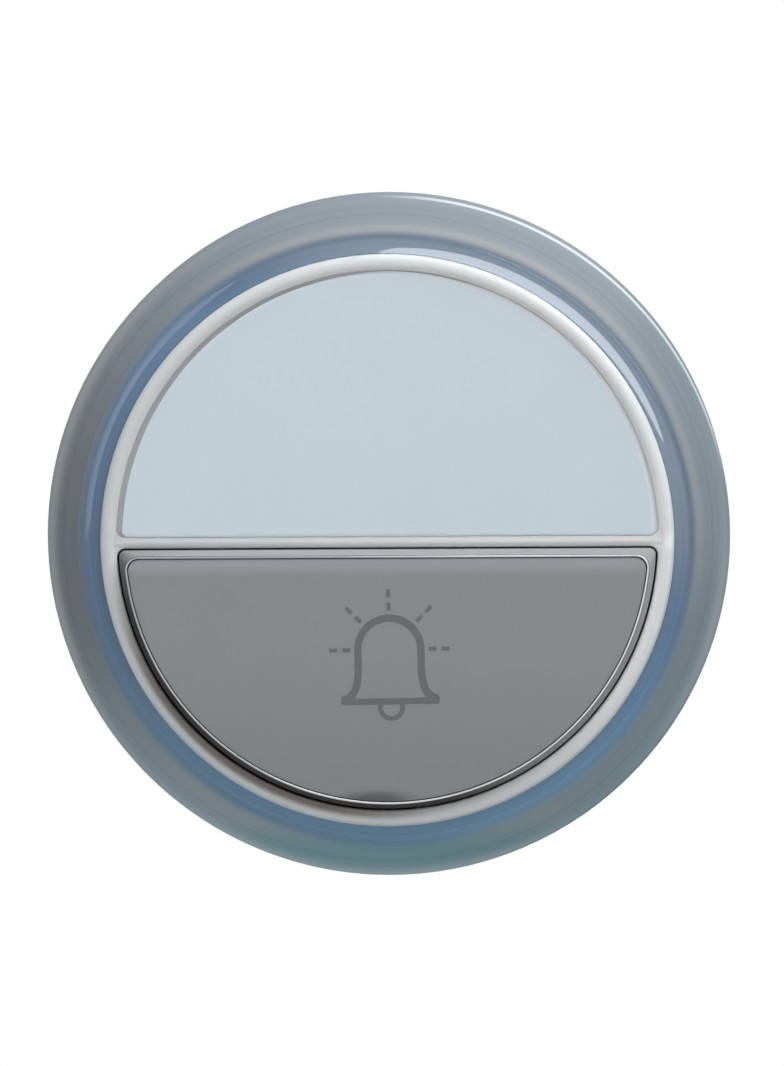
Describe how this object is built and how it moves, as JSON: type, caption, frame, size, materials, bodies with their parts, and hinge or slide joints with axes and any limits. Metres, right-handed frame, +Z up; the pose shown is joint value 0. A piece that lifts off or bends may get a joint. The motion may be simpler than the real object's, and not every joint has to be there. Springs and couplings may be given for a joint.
{
  "type": "doorbell button",
  "caption": "Round wall-mounted wireless bell push: name-card window above, hinged half-round push below, white bezel and smoky halo ring.",
  "frame": {"origin": "middle of the wall plate's rear face", "axes": "+Z up, +Y into the wall, so the front faces -Y; +X to the visitor's right"},
  "size_m": [0.08, 0.0176, 0.08],
  "materials": {
    "halo_smoke": "smoky translucent, satin gloss",
    "bezel_white": "semi-gloss white",
    "window_clear": "clear, polished",
    "label_card": "smooth pale card",
    "button_grey": "satin grey with a polished bead",
    "face_grey": "satin grey, printed",
    "chassis_grey": "fine satin",
    "plate_white": "fine satin",
    "seal_black": "matte",
    "boot_grey": "matte silicone",
    "board_green": "solder mask",
    "switch_black": "moulded",
    "steel": "pressed, bright",
    "led_white": "clear epoxy on white",
    "chip_black": "epoxy",
    "passive_tan": "ceramic",
    "cell_steel": "nickel-plated",
    "copper_wire": "enamelled"
  },
  "bodies": {
    "housing": {"back_plate": "plate_white", "board_screws": "steel", "cell_clip": "steel", "cell_contact": "steel", "chassis": "chassis_grey", "chip_parts": "passive_tan", "circuit_board": "board_green", "coin_cell": "cell_steel", "crystal_can": "steel", "front_bezel": "bezel_white", "halo_leds": "led_white", "halo_ring": "halo_smoke", "label_window": "window_clear", "loop_antenna": "copper_wire", "name_label": "label_card", "radio_chip": "chip_black", "rim_seal": "seal_black", "switch_base": "switch_black", "switch_frame": "steel", "switch_legs": "steel", "switch_seal": "boot_grey"},
    "button": {"button_cap": "button_grey", "button_face": "face_grey"},
    "plunger": {"switch_plunger": "switch_black"}
  },
  "joints": [
    {"name": "button_press", "type": "hinge", "parent": "housing", "child": "button", "pos_m": [0, -0.0133, -0.00444], "axis": [1, 0, 0], "range_deg": [0, 2], "stiffness_Nm_per_rad": 0.6, "springref_deg": -1.87, "deforming": ["switch_seal"]},
    {"name": "plunger_travel", "type": "slide", "parent": "housing", "child": "plunger", "axis": [0, 1, 0], "range_m": [0, 0.0003]}
  ],
  "couplings": [
    {"joint": "plunger_travel", "follows": "button_press", "m_per_rad": 0.00856}
  ]
}
